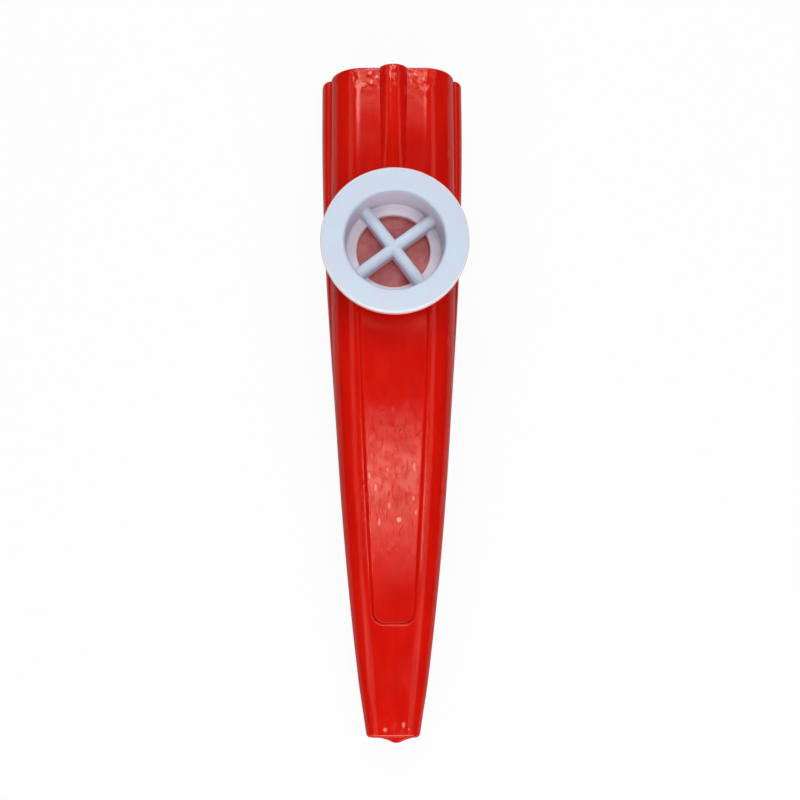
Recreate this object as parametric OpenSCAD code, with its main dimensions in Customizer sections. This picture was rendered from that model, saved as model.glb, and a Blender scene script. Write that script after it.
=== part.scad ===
// Plastic kazoo: two bonded body shells, a screw cap with a cross grille, and a membrane on a card ring.
// X runs across, +Y towards the mouth end, +Z up through the cap. It lies on its flat underside at z = 0.

/* [Body] */
// Length of the body along its underside
body_l = 120; // [100:1:140]
// Width over the side ribs at the mouth end
body_w = 26.1; // [24:0.1:30]
// Width of the arched body inside the side ribs at the mouth end
arch_w = 22.5; // [21:0.1:23.4]
// Height of the body at the mouth end, without the ridge
mouth_h = 17.4; // [15:0.1:20]
// Width at the narrow end
tip_w = 9.5; // [8.6:0.1:13]
// Height at the narrow end
tip_h = 7.4; // [6.6:0.1:10]
// Wall of both shells
wall = 1.4; // [1:0.1:1.6]
// Rake of the narrow end's face
tip_rake = 13.5; // [0:0.5:20]
// Depth by which the arched underside is cut off flat
sole_cut = 0.1; // [0.05:0.01:0.2]
// Rounding of the edge at the mouth end
mouth_round = 0.45; // [0.2:0.05:0.6]
// Rounding of the edge at the narrow end
tip_round = 0.6; // [0.2:0.05:0.65]

/* [Ridge and lettering panel] */
// Width of the ridge along the top at the mouth end
ridge_w = 4.8; // [3:0.1:7]
// Height of the ridge at the mouth end
ridge_h = 1.35; // [0.5:0.05:2]
// Length of the ridge from the mouth end
ridge_l = 31; // [15:0.5:34]
// Depth of the bare panel pressed into the top
panel_depth = 0.5; // [0.2:0.05:0.6]
// Distance from the mouth end to the far end of the panel
panel_reach = 98; // [80:0.5:105]
// Corner radius of the panel's far end
panel_corner = 2; // [1:0.1:3]

/* [Seam] */
// Height of the tongue along the bottom shell's rim at the mouth end
tongue_h = 0.8; // [0.4:0.05:1]
// Thickness of the tongue
tongue_t = 0.65; // [0.4:0.05:0.7]
// Gap between the tongue and its rebate
tongue_gap = 0.1; // [0.05:0.01:0.15]

/* [Gate stub] */
// Width of the moulding gate's stub where it leaves the narrow end
gate_w = 5.4; // [3:0.1:5.6]
// Length of the stub beyond the top shell's edge
gate_l = 0.8; // [0.5:0.1:1.4]
// Thickness of the stub
gate_t = 0.8; // [0.5:0.1:0.9]
// Offset of the stub from the centre line
gate_offset = 0.5; // [-0.6:0.1:0.6]

/* [Turret] */
// Distance from the mouth end to the turret's axis
turret_from_mouth = 32.8; // [30:0.1:40]
// Height of the turret's rim above the body
turret_rise = 2.3; // [1.8:0.1:4]
// Wall of the turret
turret_wall = 1.1; // [0.8:0.1:1.4]
// Thickness of the ledge that carries the membrane
ledge_t = 1; // [0.8:0.1:1.4]

/* [Screw cap] */
// Diameter of the sound hole in the well's floor
sound_d = 13; // [11:0.1:13.6]
// Width of the well's floor round the sound hole
floor_w = 1.95; // [1.5:0.05:2.2]
// Overhang of the flange beyond the barrel
flange_over = 2.7; // [1.9:0.05:4]
// Thickness of the flange
flange_t = 2; // [1.5:0.1:3]
// Rounding of the flange's edges
flange_round = 0.55; // [0.2:0.05:0.65]
// Wall of the threaded barrel
barrel_wall = 1.4; // [1.2:0.1:1.5]
// Length of the barrel below the flange
barrel_l = 5.9; // [5:0.1:6.5]
// Narrowing of the well from its rim to its floor
well_draft = 0.1; // [0:0.05:0.2]
// Thickness of the well's floor
floor_t = 1.1; // [0.8:0.1:1.5]
// Gap left between the flange and the turret's rim when the cap is home
seat_gap = 0.3; // [0.1:0.05:0.5]
// Radial running clearance between the barrel and the turret's bore
screw_gap = 0.05; // [0.01:0.01:0.1]
// Chamfer at the barrel's end and at the bore's mouth
lead_in = 0.35; // [0.1:0.05:0.5]

/* [Grille] */
// Width of the two crossed bars
bar_w = 1.85; // [1.2:0.05:2.4]
// Height of the bars above the well's floor
bar_rise = 2.4; // [1.5:0.1:3]
// Distance from the barrel's end up to the underside of the bars
bar_lift = 0.4; // [0.2:0.1:0.6]
// Angle of the first bar from the X axis when the cap is home
bar_angle = 37; // [0:1:90]

/* [Membrane] */
// Thickness of the film
film_t = 0.1; // [0.05:0.01:0.2]
// Thickness of the card ring that holds the film down
ring_t = 0.8; // [0.5:0.1:1]
// Width by which the ring's hole clears the sound hole all round
ring_clear = 0.7; // [0.3:0.1:1]
// Radial gap between the ring and the turret's bore
drop_gap = 0.2; // [0.1:0.05:0.3]

/* [Hidden] */

$fn = 96;
overrun = 0.5;

// The mouth end and the narrow end's lowest edge
mouth_y = body_l / 2;
tip_y = mouth_y - body_l;

// Shares of the length, from the mouth end, at which the outline's features start and stop
taper_start_share = 0.2;
slope_start_share = 0.3;
rib_fade_start_share = 0.05;
rib_fade_end_share = 0.6;
rake_start_share = 0.9;
// Powers of the curves of the width and of the height
taper_power = 2;
slope_power = 1.5;
// The flat of the top as shares of the arch's half width at the mouth and at the narrow end
flat_shares = [0.48, 0.46];
// The panel's half width as shares of the arch's half width there
panel_shares = [0.61, 0.46];
// The shoulder's height as shares of each shell's depth at the mouth and at the narrow end
shoulder_shares = [0.563, 0.495];
// The ridge's width at its end as a share of its width at the mouth
ridge_end_share = 0.8;
// The gate stub's blunt end as a share of its width, and the power of its curve down to it
gate_end_share = 0.26;
gate_power = 1.5;
// The rounding of an end's inner edge as a share of its outer edge's
inner_round_share = 0.3;

// Steps along the shells, round an end's edge and round each arc of a section
steps_along = 20;
steps_round = 3;
steps_arc = 6;
steps_panel = 16;

// Heights through the turret, from the cap down
turret_y = mouth_y - turret_from_mouth;
turret_top = mouth_h + turret_rise;
flange_z = turret_top + seat_gap;
cap_top = flange_z + flange_t;
barrel_end = flange_z - barrel_l;
ring_z = barrel_end - ring_t;
film_z = ring_z - film_t;
ledge_z = film_z - ledge_t;
floor_top = barrel_end + floor_t;

// Radii through the turret, from the sound hole outwards
sound_r = sound_d / 2;
well_r = sound_r + floor_w;
barrel_r = well_r + barrel_wall;
flange_r = barrel_r + flange_over;
bore_r = barrel_r + screw_gap;
turret_r = bore_r + turret_wall;
ring_r = bore_r - drop_gap;
ring_hole_r = sound_r + ring_clear;

// Share of the length at a place, counted from the mouth end
function along(y) = (mouth_y - y) / body_l;

// Runs smoothly from 0 to 1
function ease(t) = t <= 0 ? 0 : t >= 1 ? 1 : t * t * (3 - 2 * t);

// Stays at 1 up to start, then falls on a convex curve to 0 at the narrow end
function fall(s, start, power) = 1 - pow(max(0, (s - start) / (1 - start)), power);

function between(pair, s) = pair[0] + (pair[1] - pair[0]) * s;

// Sizes of the section at a share s of the length
function arch_half(s) = tip_w / 2 + (arch_w - tip_w) / 2 * fall(s, taper_start_share, taper_power);
function depth(s) = (tip_h + (mouth_h - tip_h) * fall(s, slope_start_share, slope_power)) / 2;
function rib_out(s) = (body_w - arch_w) / 2
    * (1 - ease((s - rib_fade_start_share) / (rib_fade_end_share - rib_fade_start_share)));
function flat_half(s) = arch_half(s) * between(flat_shares, s);
function crease_up(s) = depth(s) * (1 - between(shoulder_shares, s));
function ridge_fade(s) = 1 - ease(s * body_l / ridge_l);
function ridge_half(s) = ridge_w / 2 * (ridge_end_share + (1 - ridge_end_share) * ridge_fade(s));
function tongue_up(s) = tongue_h * (crease_up(s) - wall) / (crease_up(0) - wall);

// Points on a part of an ellipse, from its first step or, with first = 0, from its very start
function arc(x, z, rx, rz, from, to, first = 1) =
    [for (i = [first : steps_arc])
        let (t = from + (to - from) * i / steps_arc)
        [x + rx * cos(t), z + rz * sin(t)]];

// Points along a flat from x to the centre line, leaving out the first one
function flat_line(x, z, steps) = [for (i = [1 : steps]) [x * (1 - i / steps), z]];

// Outer skin of one shell's right half, from the seam to the centre line, as [x, height off the seam]
function outer_half(s, inset, is_top) =
    let (
        a = arch_half(s) - inset,
        f = flat_half(s),
        c = crease_up(s),
        d = depth(s) - inset + (is_top ? 0 : sole_cut),
        r = ridge_half(s)
    )
    concat(
        [[a + rib_out(s), 0]],
        arc(a, 0, rib_out(s), c, 0, 90),
        arc(f, c, a - f, d - c, 0, 90),
        is_top ? concat([[r, d]], arc(0, d, r, ridge_h * ridge_fade(s), 0, 90)) : flat_line(f, d, 3)
    );

// Inner skin of the right half, from the seam to the centre line; the top shell is rebated at the seam
function inner_half(s, inset, is_top) =
    let (
        a = arch_half(s) - wall + inset,
        f = flat_half(s),
        c = crease_up(s),
        d = depth(s) - wall + inset,
        rib_c = c - wall + inset,
        step_x = arch_half(s) - wall + rib_out(s) + tongue_t,
        step_up = tongue_up(s) + tongue_gap
    )
    concat(
        is_top ? [[step_x + tongue_gap, 0], [step_x + tongue_gap, step_up]] : [[step_x, 0]],
        arc(a, 0, rib_out(s), rib_c, is_top ? asin(step_up / rib_c) : 0, 90, 0),
        arc(f, c, a - f, d - c, 0, 90, 0),
        flat_line(f, d, is_top ? 4 : 1)
    );

// Tip of the bottom shell's tongue on the right, from its outer corner to its inner one
function tongue_tip(s, inset) =
    let (x = arch_half(s) - wall + rib_out(s))
    [[x + tongue_t, -tongue_up(s)], [x + inset, -tongue_up(s)]];

function mirrored(points) = [for (i = [len(points) - 1 : -1 : 0]) [-points[i][0], points[i][1]]];

// A right half carried on over the centre line to the left seam
function both_halves(half) = concat(half, mirrored([for (i = [0 : len(half) - 2]) half[i]]));

// Inset of the skin at a distance d from an end whose edge is rounded by r
function edge_inset(d, r) = d >= r ? 0 : r - sqrt(r * r - pow(r - d, 2));

// Stations along the shells: closely spaced round both ends' edges, evenly between them
round_steps = [for (i = [0 : steps_round - 1]) 1 - cos(90 * i / steps_round)];
first_y = mouth_y - mouth_round;
last_y = tip_y + tip_round;
stations = concat(
    [for (t = round_steps) mouth_y - mouth_round * t],
    [for (i = [0 : steps_along]) first_y + (last_y - first_y) * i / steps_along],
    [for (i = [steps_round - 1 : -1 : 0]) tip_y + tip_round * round_steps[i]]
);

// Points of one section as [x, height off the seam]: outer skin, inner skin, then any tongue's corners
function section(s, inset, is_top) = concat(
    both_halves(outer_half(s, inset, is_top)),
    both_halves(inner_half(s, inset * inner_round_share, is_top)),
    is_top ? [] : tongue_tip(s, inset * inner_round_share),
    is_top ? [] : mirrored(tongue_tip(s, inset * inner_round_share))
);

// One shell, lofted through its sections; the top shell's heights run up from the seam, the bottom's down
module shell(is_top) {
    side = is_top ? 1 : -1;
    rings = [for (y = stations)
        let (
            s = along(y),
            inset = edge_inset(mouth_y - y, mouth_round) + edge_inset(y - tip_y, tip_round),
            lean = tan(tip_rake) * ease((s - rake_start_share) / (1 - rake_start_share))
        )
        [for (p = section(s, inset, is_top))
            let (z = depth(s) + side * p[1])
            [p[0], y + lean * (z - tip_round + sole_cut), z]]
    ];
    n = len(rings[0]);
    last = len(rings) - 1;
    // Points across one skin; the inner skin's numbers follow the outer's, and the tongue's come last
    w = len(both_halves(outer_half(0, 0, is_top)));
    right_tongue = is_top ? [] : [2 * w + 1, 2 * w];
    left_tongue = is_top ? [] : [2 * w + 3, 2 * w + 2];
    loop = concat(
        [for (i = [0 : w - 1]) i],
        [2 * w - 1], left_tongue, [for (i = [2 * w - 2 : -1 : w + 1]) i], right_tongue, [w]
    );
    // The bottom shell is a mirror image, so its faces are turned over
    function turned(face) = is_top ? face : [for (i = [len(face) - 1 : -1 : 0]) face[i]];
    sides = [for (k = [0 : last - 1], i = [0 : n - 1], half = [0, 1])
        let (p = k * n + loop[i], q = k * n + loop[(i + 1) % n])
        turned(half == 0 ? [p, p + n, q + n] : [p, q + n, q])];
    // Each quad between the skins is cut from its seam corner, so that none comes out flat
    band = [for (i = [0 : w - 2], half = [0, 1])
        i < w / 2 - 1
            ? (half == 0 ? [i, i + 1, w + i] : [i + 1, w + i + 1, w + i])
            : (half == 0 ? [i, i + 1, w + i + 1] : [i, w + i + 1, w + i])];
    tongue_ends = is_top ? [] : [
        [w, w + 1, 2 * w + 1], [w, 2 * w + 1, 2 * w],
        [2 * w - 2, 2 * w - 1, 2 * w + 3], [2 * w - 2, 2 * w + 3, 2 * w + 2]
    ];
    caps = [for (f = concat(band, tongue_ends), end = [0, 1])
        turned(end == 0 ? f : [for (i = [2 : -1 : 0]) f[i] + last * n])];
    polyhedron(points = [for (r = rings, p = r) p], faces = concat(sides, caps), convexity = 6);
}

// Places along the panel, from under the turret to the start of its far corners
panel_end_y = mouth_y - panel_reach;
panel_side_ys = [for (i = [0 : steps_panel])
    turret_y + (panel_end_y + panel_corner - turret_y) * i / steps_panel];

function panel_half(y) = arch_half(along(y)) * between(panel_shares, along(y));

// Plan of the panel, narrowing with the body and rounded at its far end
module panel_plan() {
    right = concat(
        [for (y = panel_side_ys) [panel_half(y), y]],
        [for (i = [1 : steps_arc])
            let (
                t = 90 * i / steps_arc,
                x = panel_half(panel_end_y + panel_corner) - panel_corner * (1 - cos(t))
            )
            [x, panel_end_y + panel_corner * (1 - sin(t))]]
    );
    polygon(concat(right, mirrored(right)));
}

// Space above the panel's floor, which stays at one depth below the body's top
module panel_side() {
    low = [for (i = [0 : steps_panel])
        let (y = turret_y + (panel_end_y - overrun - turret_y) * i / steps_panel)
        [y, 2 * depth(along(y)) - panel_depth]];
    rotate([90, 0, 90])
        translate([0, 0, -arch_w / 2])
            linear_extrude(arch_w)
                polygon(concat(low, [[panel_end_y - overrun, turret_top], [turret_y, turret_top]]));
}

module panel_recess() {
    intersection() {
        linear_extrude(turret_top) panel_plan();
        panel_side();
    }
}

// Turret wall with its chamfered rim, as a revolved profile; it reaches down to the ledge
module turret_blank() {
    rotate_extrude()
        polygon([
            [0, ledge_z], [turret_r, ledge_z], [turret_r, turret_top - lead_in],
            [turret_r - lead_in, turret_top], [0, turret_top]
        ]);
}

// The bore that the barrel screws into, the seat of the membrane and the hole through the ledge
module turret_bore() {
    translate([0, 0, film_z]) cylinder(h = turret_top - film_z + overrun, r = bore_r);
    translate([0, 0, turret_top - lead_in])
        cylinder(h = lead_in + overrun, r1 = bore_r, r2 = bore_r + lead_in + overrun);
    translate([0, 0, ledge_z - overrun]) cylinder(h = ledge_t + 2 * overrun, r = sound_r);
}

// Stub left where the moulding was cut from its runner, curving in to a blunt end
module gate_stub() {
    root_y = tip_y + tan(tip_rake) * (tip_h - 2 * tip_round);
    end_half = gate_w / 2 * gate_end_share;
    flank = [for (i = [0 : steps_arc])
        [end_half + (gate_w / 2 - end_half) * pow(1 - i / steps_arc, gate_power), -gate_l * i / steps_arc]];
    right = concat([[gate_w / 2, wall]], flank);
    translate([gate_offset, root_y, tip_h - wall / 2 - gate_t / 2])
        linear_extrude(gate_t) polygon(concat(right, mirrored(right)));
}

module top_shell() {
    color([0.80, 0.08, 0.06])
        difference() {
            union() {
                difference() {
                    shell(true);
                    panel_recess();
                }
                translate([0, turret_y, 0]) turret_blank();
                gate_stub();
            }
            translate([0, turret_y, 0]) turret_bore();
        }
}

module bottom_shell() {
    color([0.80, 0.08, 0.06])
        difference() {
            shell(false);
            translate([-body_w, tip_y - overrun, -overrun])
                cube([2 * body_w, body_l + 2 * overrun, overrun]);
        }
}

// Cap without its grille: flange, drafted well, floor with the sound hole, barrel
module cap_blank() {
    edge = [for (i = [0 : steps_arc])
        let (t = 90 * i / steps_arc)
        [flange_r - flange_round * (1 - cos(t)), cap_top - flange_round * (1 - sin(t))]];
    rotate_extrude()
        polygon(concat(
            [
                [sound_r, barrel_end], [barrel_r - lead_in, barrel_end], [barrel_r, barrel_end + lead_in],
                [barrel_r, flange_z], [flange_r - flange_round, flange_z], [flange_r, flange_z + flange_round]
            ],
            edge,
            [
                [well_r + flange_round, cap_top], [well_r, cap_top - flange_round],
                [well_r - well_draft, floor_top], [sound_r, floor_top]
            ]
        ));
}

// One bar of the grille with a rounded top, lying along X and ending inside the barrel's wall
module grille_bar() {
    bar_base = barrel_end + bar_lift;
    bar_shoulder = floor_top + bar_rise - bar_w / 2;
    reach = well_r + barrel_wall / 2;
    rotate([90, 0, 90])
        translate([0, 0, -reach])
            linear_extrude(2 * reach)
                union() {
                    translate([-bar_w / 2, bar_base]) square([bar_w, bar_shoulder - bar_base]);
                    translate([0, bar_shoulder]) circle(d = bar_w);
                }
}

module screw_cap() {
    color([0.84, 0.88, 0.94])
        translate([0, turret_y, 0])
            union() {
                cap_blank();
                for (turn = [0, 90]) rotate([0, 0, bar_angle + turn]) grille_bar();
            }
}

module membrane_ring() {
    color([0.90, 0.87, 0.80])
        translate([0, turret_y, ring_z])
            difference() {
                cylinder(h = ring_t, r = ring_r);
                translate([0, 0, -overrun]) cylinder(h = ring_t + 2 * overrun, r = ring_hole_r);
            }
}

module membrane() {
    color([0.85, 0.72, 0.68, 0.6])
        translate([0, turret_y, film_z]) cylinder(h = film_t, r = ring_r);
}

top_shell();
bottom_shell();
screw_cap();
membrane_ring();
membrane();
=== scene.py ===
"""Dresses the kazoo: two glossy red shells, a pale screw cap, and the membrane on its card ring."""
import math

import bmesh
import bpy
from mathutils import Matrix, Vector, noise


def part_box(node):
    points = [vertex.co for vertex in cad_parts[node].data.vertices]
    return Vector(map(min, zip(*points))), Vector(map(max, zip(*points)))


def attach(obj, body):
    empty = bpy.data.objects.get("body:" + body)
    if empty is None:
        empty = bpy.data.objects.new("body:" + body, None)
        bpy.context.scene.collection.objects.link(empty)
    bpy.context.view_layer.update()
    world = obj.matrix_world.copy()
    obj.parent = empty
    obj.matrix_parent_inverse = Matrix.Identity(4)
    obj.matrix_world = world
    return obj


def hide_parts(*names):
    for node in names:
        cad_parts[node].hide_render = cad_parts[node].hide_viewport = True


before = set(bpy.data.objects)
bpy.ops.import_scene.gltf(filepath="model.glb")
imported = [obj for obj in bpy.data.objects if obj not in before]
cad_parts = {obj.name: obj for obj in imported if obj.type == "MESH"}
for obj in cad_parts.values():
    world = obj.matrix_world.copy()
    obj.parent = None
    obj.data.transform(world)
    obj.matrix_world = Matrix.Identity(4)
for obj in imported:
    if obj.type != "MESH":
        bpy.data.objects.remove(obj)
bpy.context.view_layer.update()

MM = 0.001
TINY = 0.001 * MM
QUARTER_TURN = math.radians(90)

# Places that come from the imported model
bottom_lo, bottom_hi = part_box("bottom_shell")
cap_lo, cap_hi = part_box("screw_cap")
ring_lo, ring_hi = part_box("membrane_ring")
film_lo, film_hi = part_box("membrane")

MOUTH_Y = bottom_hi.y
TIP_Y = bottom_lo.y
BODY_L = MOUTH_Y - TIP_Y
CAP_Y = (cap_lo.y + cap_hi.y) / 2
CAP_TOP = cap_hi.z
FLANGE_R = (cap_hi.x - cap_lo.x) / 2
BARREL_END = cap_lo.z

# The body's sizes, as in the part's source
BODY_W = bottom_hi.x - bottom_lo.x
ARCH_W = 22.5 * MM
MOUTH_H = 17.4 * MM
TIP_W = 9.5 * MM
TIP_H = 7.4 * MM
WALL = 1.4 * MM
TIP_RAKE = math.radians(13.5)
SOLE_CUT = 0.1 * MM
MOUTH_ROUND = 0.45 * MM
TIP_ROUND = 0.6 * MM
RIDGE_W = 4.8 * MM
RIDGE_H = 1.35 * MM
RIDGE_L = 31 * MM
PANEL_DEPTH = 0.5 * MM
PANEL_END_Y = MOUTH_Y - 98 * MM
PANEL_CORNER = 2 * MM
TONGUE_H = 0.8 * MM
TONGUE_T = 0.65 * MM
TONGUE_GAP = 0.1 * MM
GATE_W = 5.4 * MM
GATE_L = 0.8 * MM
GATE_T = 0.8 * MM
GATE_X = 0.5 * MM
TAPER_START_SHARE = 0.2
TAPER_POWER = 2
SLOPE_START_SHARE = 0.3
SLOPE_POWER = 1.5
RIB_FADE_START_SHARE = 0.05
RIB_FADE_SHARE = 0.55
RAKE_START_SHARE = 0.9
RAKE_SHARE = 0.1
FLAT_SHARES = (0.48, 0.46)
PANEL_SHARES = (0.61, 0.46)
SHOULDER_SHARES = (0.563, 0.495)
RIDGE_END_SHARE = 0.8
GATE_END_SHARE = 0.26
GATE_POWER = 1.5
INNER_ROUND_SHARE = 0.3

# The turret's and the cap's sizes, as in the part's source
TURRET_TOP = MOUTH_H + 2.3 * MM
LEDGE_TOP = film_lo.z
LEDGE_BOTTOM = LEDGE_TOP - 1 * MM
SOUND_R = 6.5 * MM
WELL_R = 8.45 * MM
WELL_DRAFT = 0.1 * MM
BARREL_R = 9.85 * MM
BORE_R = 9.9 * MM
TURRET_R = 11 * MM
RING_R = (ring_hi.x - ring_lo.x) / 2
RING_HOLE_R = 7.2 * MM
FLANGE_Z = CAP_TOP - 2 * MM
FLANGE_ROUND = 0.55 * MM
FLOOR_TOP = BARREL_END + 1.1 * MM
LEAD_IN = 0.35 * MM
BAR_W = 1.85 * MM
BAR_RISE = 2.4 * MM
BAR_LIFT = 0.4 * MM
BAR_ANGLE = math.radians(37)

# The screw thread, cut into the barrel and into the bore; the groove's shares are of half a pitch
PITCH = 2 * MM
THREAD_DEPTH = 0.35 * MM
THREAD_FADE = 0.5 * MM
THREAD_STEPS = 44
GROOVE_START_SHARE = 0.3
GROOVE_FLANK_SHARE = 0.4

# Fine forms that the part's source leaves out
CREASE_FILLET = 0.4 * MM
CREASE_RIB_SHARE = 0.45
SEAM_LIP = 0.12 * MM
SEAM_BEVEL = 0.25 * SEAM_LIP
RIB_LIFT = 1.3 * SEAM_LIP
RIB_POWER = 2.7
RIDGE_POWERS = (0.95, 0.62)
PANEL_WALL = 0.85 * MM
PANEL_END_WALL = 0.6 * MM
PANEL_WALL_POWER = 1.5
PANEL_START = 3 * MM
EDGE_LIP = 0.2 * MM
FLOOR_LIP = 0.3 * MM
BAR_EXTRA = 0.1 * MM
BAR_ROOT_EXTRA = 0.25 * MM
BAR_ROOT_RISE = 0.2 * MM
BAR_ROOT_L = 1.1 * MM
CARD_ROUND = 0.12 * MM

# Steps that round forms are made in
TURNS = 192
RIB_STEPS = 18
CREASE_STEPS = 8
SHOULDER_STEPS = 24
PANEL_WALL_STEPS = 8
FLAT_STEPS = 12
CROWN_STEPS = 14
INNER_RIB_STEPS = 14
INNER_ARCH_STEPS = 30
TONGUE_STEPS = 3
END_STEPS = 6
LIP_STEPS = 6
CARD_STEPS = 4
BAR_STEPS = 60

# Unevenness of the moulded skin: the sink marks' length from the mouth, where the flow marks begin and end
# along Y, and the length that each sets in over
SINK_L, SINK_FADE = 7 * MM, 5 * MM
FLOW_START, FLOW_FADE = -34 * MM, 12 * MM
FLOW_END, FLOW_END_FADE = 8 * MM, 14 * MM
TIP_FLOW_START, TIP_FLOW_FADE = -45 * MM, 8 * MM
END_FLOW_START, END_FLOW_FADE = -54 * MM, 3 * MM

# Heights of that unevenness, in mm
SINK_HEIGHT = 0.05
FLOW_HEIGHT = 0.02
TIP_FLOW_HEIGHT = 0.015
END_FLOW_HEIGHT = 0.02
SWELL_HEIGHT = 0.012

# Where the red plastic's marks begin and are full, or are full and end
PITS_Y = (MOUTH_Y - 6 * MM, MOUTH_Y - 2.5 * MM)
FLECKS_TIP_Y = (-32 * MM, -20 * MM)
FLECKS_MOUTH_Y = (-4 * MM, 4 * MM)
FLECKS_X = (5.5 * MM, 6.5 * MM)
DRAG_Y = (MOUTH_Y - 22 * MM, MOUTH_Y - 12 * MM)
DRAG_X = (RIDGE_W / 2 - 0.5 * MM, RIDGE_W / 2 - 0.2 * MM)
NICKS_Z = (TIP_H - WALL, TIP_H - 0.5 * WALL)

# Where the cap's colours meet, and where its painted shade, bounce light, highlights and reflection begin and
# end
SUNK_Z = (CAP_TOP - 2.5 * MM, CAP_TOP - 0.3 * MM)
WELL_WALL_R = (WELL_R - 0.9 * MM, WELL_R - 0.2 * MM)
WELL_FLOOR_Z = (FLOOR_TOP + 0.1 * MM, FLOOR_TOP + 0.5 * MM)
HOLE_EDGE_R = (SOUND_R + 0.15 * MM, SOUND_R + 0.4 * MM)
RIM_R = (FLANGE_R - 0.5 * MM, FLANGE_R - 0.15 * MM)
RIM_SIDE_Z = (CAP_TOP - 0.9 * MM, CAP_TOP - 0.4 * MM)

# Small flow marks by the mouth, on the panel and at the tip, as x, y, half width and half length in mm,
# and how high each stands beside the others; each mark's core also carries a painted glint
NICKS = (
    (-4.1, 58.7, 0.5, 0.35, 1.6),
    (-3.9, 57.2, 0.32, 0.6, 2.0),
    (4.05, 58.5, 0.6, 0.35, 1.6),
    (-2.9, 58.1, 0.4, 0.4, 1.3),
    (-5.3, 56.6, 0.5, 0.6, 1.6),
    (3.1, 57.3, 0.4, 0.5, 1.5),
    (5.4, 57.8, 0.4, 0.7, 1.6),
    (3.45, -10.7, 0.38, 1.1, 1.9),
    (-1.15, -11.2, 0.34, 0.7, 1.7),
    (-4.3, -12.2, 0.34, 0.9, 1.7),
    (-3.25, -14.3, 0.36, 1.0, 1.8),
    (3.35, -16.2, 0.36, 0.7, 1.8),
    (-0.85, -17.5, 0.38, 0.9, 1.9),
    (3.8, -18.7, 0.38, 0.6, 1.9),
    (0.85, -19.9, 0.6, 0.65, 3.0),
    (-2.6, -20.4, 0.36, 1.0, 1.8),
    (-1.5, -56.8, 0.5, 0.55, 2.1),
    (1.75, -55.9, 0.42, 0.8, 1.9),
    (2.7, -56.7, 0.3, 0.4, 1.3),
)

# Colours, in linear light
RED = (0.66, 0.006, 0.0014, 1)
RED_DEEP = (0.595, 0.0038, 0.001, 1)
RED_EDGE = (0.75, 0.05, 0.03, 1)
RED_GLOSS = (1, 0.62, 0.5, 1)
# painted glint: pale pink for the cores of the small flow marks
PAINTED_GLINT = (0.95, 0.42, 0.30, 1)
PALE = (0.58, 0.70, 0.83, 1)
PALE_LILAC = (0.60, 0.665, 0.815, 1)
# painted shade and red bounce light of the well's wall
WELL_SHADE_AND_BOUNCE = (0.57, 0.53, 0.62, 1)
# painted light and red bounce light of the well's floor and what lies below it
WELL_FLOOR_PAINTED_LIGHT = (0.80, 0.75, 0.84, 1)
CARD = (0.62, 0.52, 0.38, 1)
CARD_DARK = (0.42, 0.32, 0.20, 1)
FILM = (0.64, 0.14, 0.16, 1)
FILM_PALE = (0.72, 0.24, 0.21, 1)
# painted highlight along the flange's rounded edge
RIM_PAINTED_HIGHLIGHT = (0.92, 0.90, 0.94, 1)
# painted reflection of the red body on the flange's side
RIM_RED_REFLECTION = (0.70, 0.60, 0.65, 1)
# painted pink highlight on the sound hole's lip
HOLE_LIP_HIGHLIGHT = (0.84, 0.68, 0.74, 1)
WHITE = (1, 1, 1, 1)

# Camera; the shift is the photograph's framing
CAMERA_PLACE = (-4.9 * MM, -11.3 * MM, 142.7 * MM)
CAMERA_TILT = math.radians(5.4)
CAMERA_LENS = 33.3
CAMERA_SENSOR = 36
CAMERA_SHIFT = 0.0429
CAMERA_CLIP = 0.01

# Lamps: name, tilts in degrees off straight up towards +X and +Y, width and height in degrees as the kazoo
# sees them, radiance, and the colour where it isn't white
CENTRE = Vector((0, 30 * MM, 17 * MM))
LAMP_DISTANCE = 0.5
WARM = (1, 0.8, 0.72)
LAMPS = (
    ("key", 0, 54, 60, 18, 1.3),
    ("key_low", -2, 35, 30, 10, 2.8),
    ("key_left", -16, 34, 8, 10, 9.5),
    ("key_right", 11, 35, 4, 12, 6.0),
    ("glint_light", 0, 44, 7, 6, 26),
    ("well_light", 0, 8.5, 26, 5, 9.5),
    ("panel_light", 1, -19, 12, 7, 4.4),
    ("panel_glow", 1, -20.5, 17, 12, 1.9),
    ("panel_halo", 1, -21.5, 21, 19, 0.9),
    ("panel_glint", 16, -23, 6, 14, 12),
    ("front_light", 0, -70, 60, 16, 4.4),
    ("front_low", 2, -61, 12, 7, 7.0),
    ("front_left", -30, -48, 22, 20, 0.8),
    ("front_right", 22, -48, 20, 20, 0.8),
    ("left_light", -38, 0, 80, 13, 1.0, WARM),
    ("right_light", 33, 0, 80, 12, 1.2, WARM),
)

# Places of the two colours and of the result among the sockets of Blender's Mix node
MIX_A, MIX_B, MIX_RESULT = 6, 7, 2

# Surroundings and floor; the floor is darker in reflections than the camera sees it
SKY = (0.96, 0.98, 1, 1)
SKY_STRENGTH = 0.08
FLOOR_HALF = 0.8
FLOOR_REFLECTED = (0.5, 0.5, 0.5, 1)
FLOOR_SEEN = (0.85, 0.85, 0.85, 1)
FLOOR_GLOW_SHARE = 0.93


# Camera, lamps and floor


def make_camera():
    """Camera over the kazoo, tilted a little off straight down."""
    data = bpy.data.cameras.new("camera")
    data.sensor_width = CAMERA_SENSOR
    data.lens = CAMERA_LENS
    data.shift_x = CAMERA_SHIFT
    data.clip_start = CAMERA_CLIP
    camera = bpy.data.objects.new("camera", data)
    camera.location = CAMERA_PLACE
    camera.rotation_euler = (CAMERA_TILT, 0, 0)
    bpy.context.scene.collection.objects.link(camera)
    bpy.context.scene.camera = camera


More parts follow.
